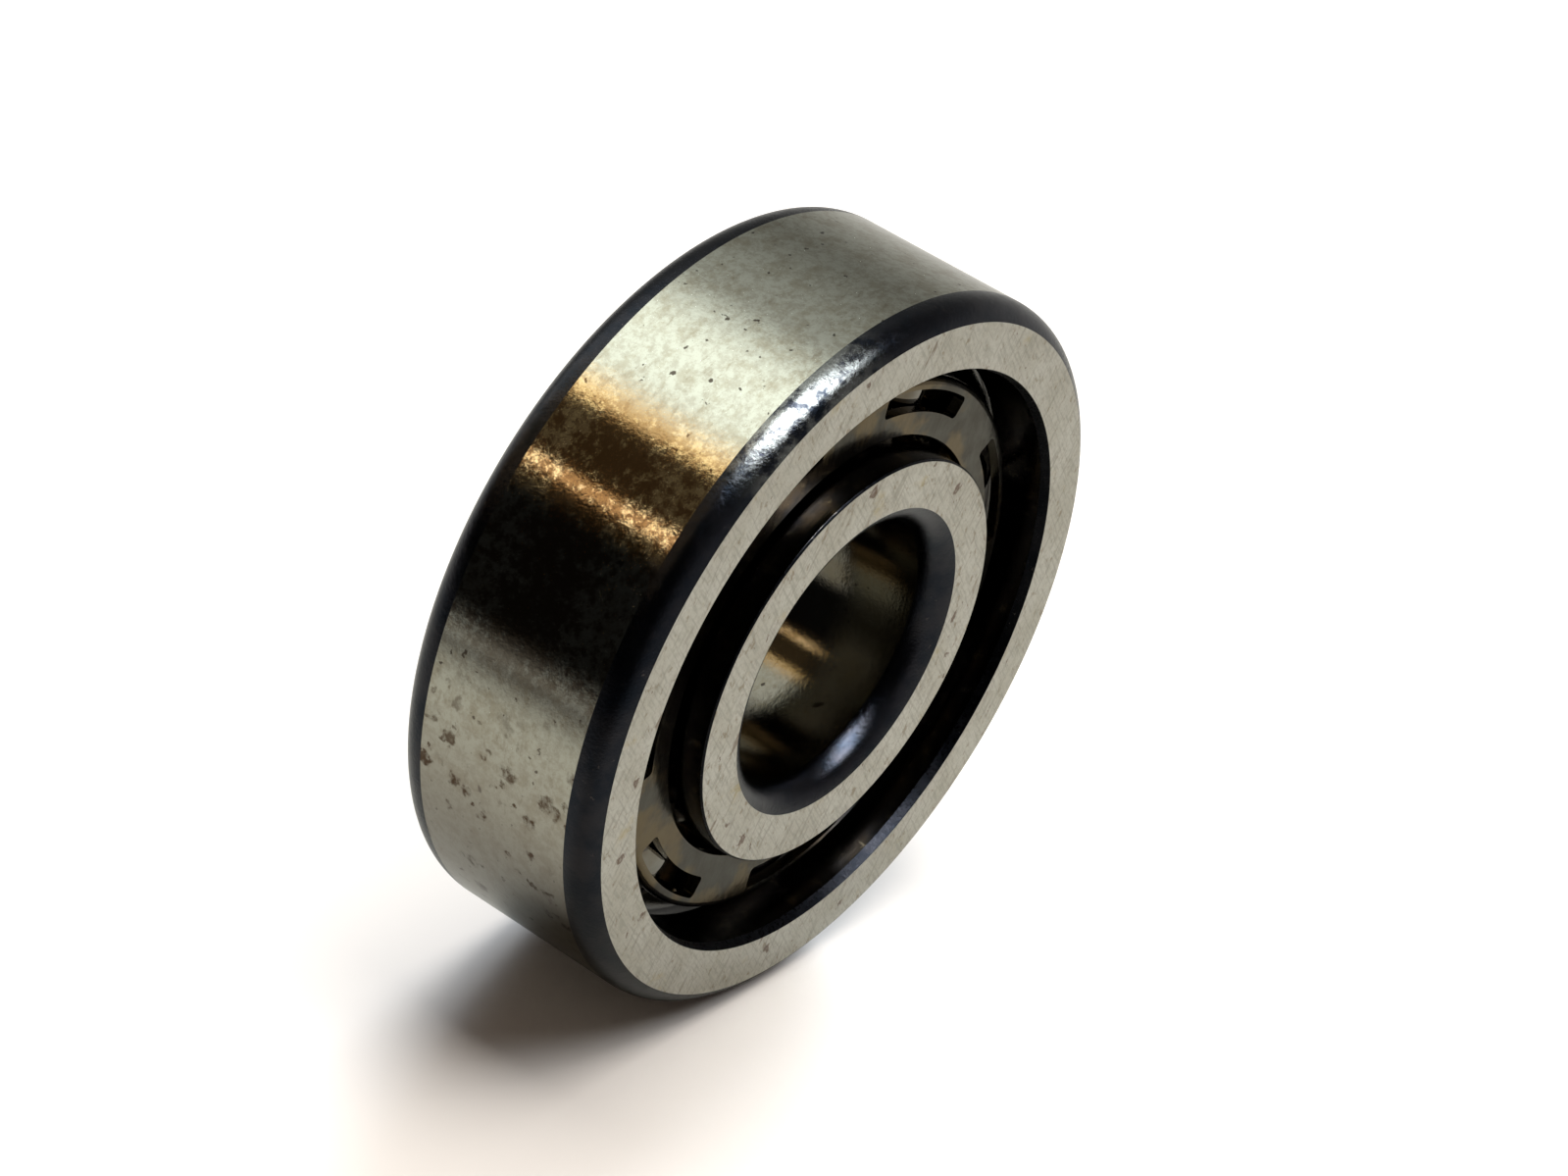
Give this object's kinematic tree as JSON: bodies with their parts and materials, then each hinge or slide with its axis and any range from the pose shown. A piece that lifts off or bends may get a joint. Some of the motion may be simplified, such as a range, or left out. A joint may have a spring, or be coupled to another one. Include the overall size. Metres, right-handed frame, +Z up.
{
  "type": "angular contact ball bearing",
  "caption": "Open single-row angular contact ball bearing: grooved inner and outer rings, a pressed cage and balls that roll between them.",
  "frame": {"origin": "on the bearing axis, at the middle of the outer ring's width", "axes": "+Y along the bearing axis, from the high-shoulder side of the outer ring (the side in the picture) to its relieved side; +Z up, as the bearing stands on its rim"},
  "size_m": [0.032, 0.0101, 0.032],
  "materials": {
    "outer_ring_steel": "ground side faces and outside, dark unground corners, light brown stains",
    "inner_ring_steel": "ground side faces and bore, dark unground corners",
    "cage_steel": "bright pressed sheet",
    "ball_steel": "mirror polished"
  },
  "bodies": {
    "outer_ring": {"outer_ring": "outer_ring_steel"},
    "inner_ring": {"inner_ring": "inner_ring_steel"},
    "cage": {"cage": "cage_steel"},
    "ball_1": {"ball_1": "ball_steel"},
    "ball_2": {"ball_2": "ball_steel"},
    "ball_3": {"ball_3": "ball_steel"},
    "ball_4": {"ball_4": "ball_steel"},
    "ball_5": {"ball_5": "ball_steel"},
    "ball_6": {"ball_6": "ball_steel"},
    "ball_7": {"ball_7": "ball_steel"}
  },
  "joints": [
    {"name": "inner_ring_spin", "type": "hinge", "parent": "outer_ring", "child": "inner_ring", "pos_m": [0, 0, 0], "axis": [0, 1, 0], "continuous": true},
    {"name": "cage_spin", "type": "hinge", "parent": "outer_ring", "child": "cage", "pos_m": [0, 0, 0], "axis": [0, 1, 0], "continuous": true},
    {"name": "ball_1_spin", "type": "hinge", "parent": "cage", "child": "ball_1", "pos_m": [0.0103, 0, 0.00385], "axis": [0.3959, 0.9063, 0.148], "continuous": true},
    {"name": "ball_2_spin", "type": "hinge", "parent": "cage", "child": "ball_2", "pos_m": [0.00341, 0, 0.01046], "axis": [0.1311, 0.9063, 0.4018], "continuous": true},
    {"name": "ball_3_spin", "type": "hinge", "parent": "cage", "child": "ball_3", "pos_m": [-0.00605, 0, 0.00919], "axis": [-0.2324, 0.9063, 0.353], "continuous": true},
    {"name": "ball_4_spin", "type": "hinge", "parent": "cage", "child": "ball_4", "pos_m": [-0.01095, 0, 0.001], "axis": [-0.4209, 0.9063, 0.0384], "continuous": true},
    {"name": "ball_5_spin", "type": "hinge", "parent": "cage", "child": "ball_5", "pos_m": [-0.00761, 0, -0.00794], "axis": [-0.2924, 0.9063, -0.3051], "continuous": true},
    {"name": "ball_6_spin", "type": "hinge", "parent": "cage", "child": "ball_6", "pos_m": [0.00146, 0, -0.0109], "axis": [0.0562, 0.9063, -0.4189], "continuous": true},
    {"name": "ball_7_spin", "type": "hinge", "parent": "cage", "child": "ball_7", "pos_m": [0.00944, 0, -0.00565], "axis": [0.3625, 0.9063, -0.2172], "continuous": true}
  ],
  "couplings": [
    {"joint": "cage_spin", "follows": "inner_ring_spin", "ratio": 0.37738},
    {"joint": "ball_1_spin", "follows": "inner_ring_spin", "ratio": -1.7367},
    {"joint": "ball_2_spin", "follows": "inner_ring_spin", "ratio": -1.7367},
    {"joint": "ball_3_spin", "follows": "inner_ring_spin", "ratio": -1.7367},
    {"joint": "ball_4_spin", "follows": "inner_ring_spin", "ratio": -1.7367},
    {"joint": "ball_5_spin", "follows": "inner_ring_spin", "ratio": -1.7367},
    {"joint": "ball_6_spin", "follows": "inner_ring_spin", "ratio": -1.7367},
    {"joint": "ball_7_spin", "follows": "inner_ring_spin", "ratio": -1.7367}
  ]
}
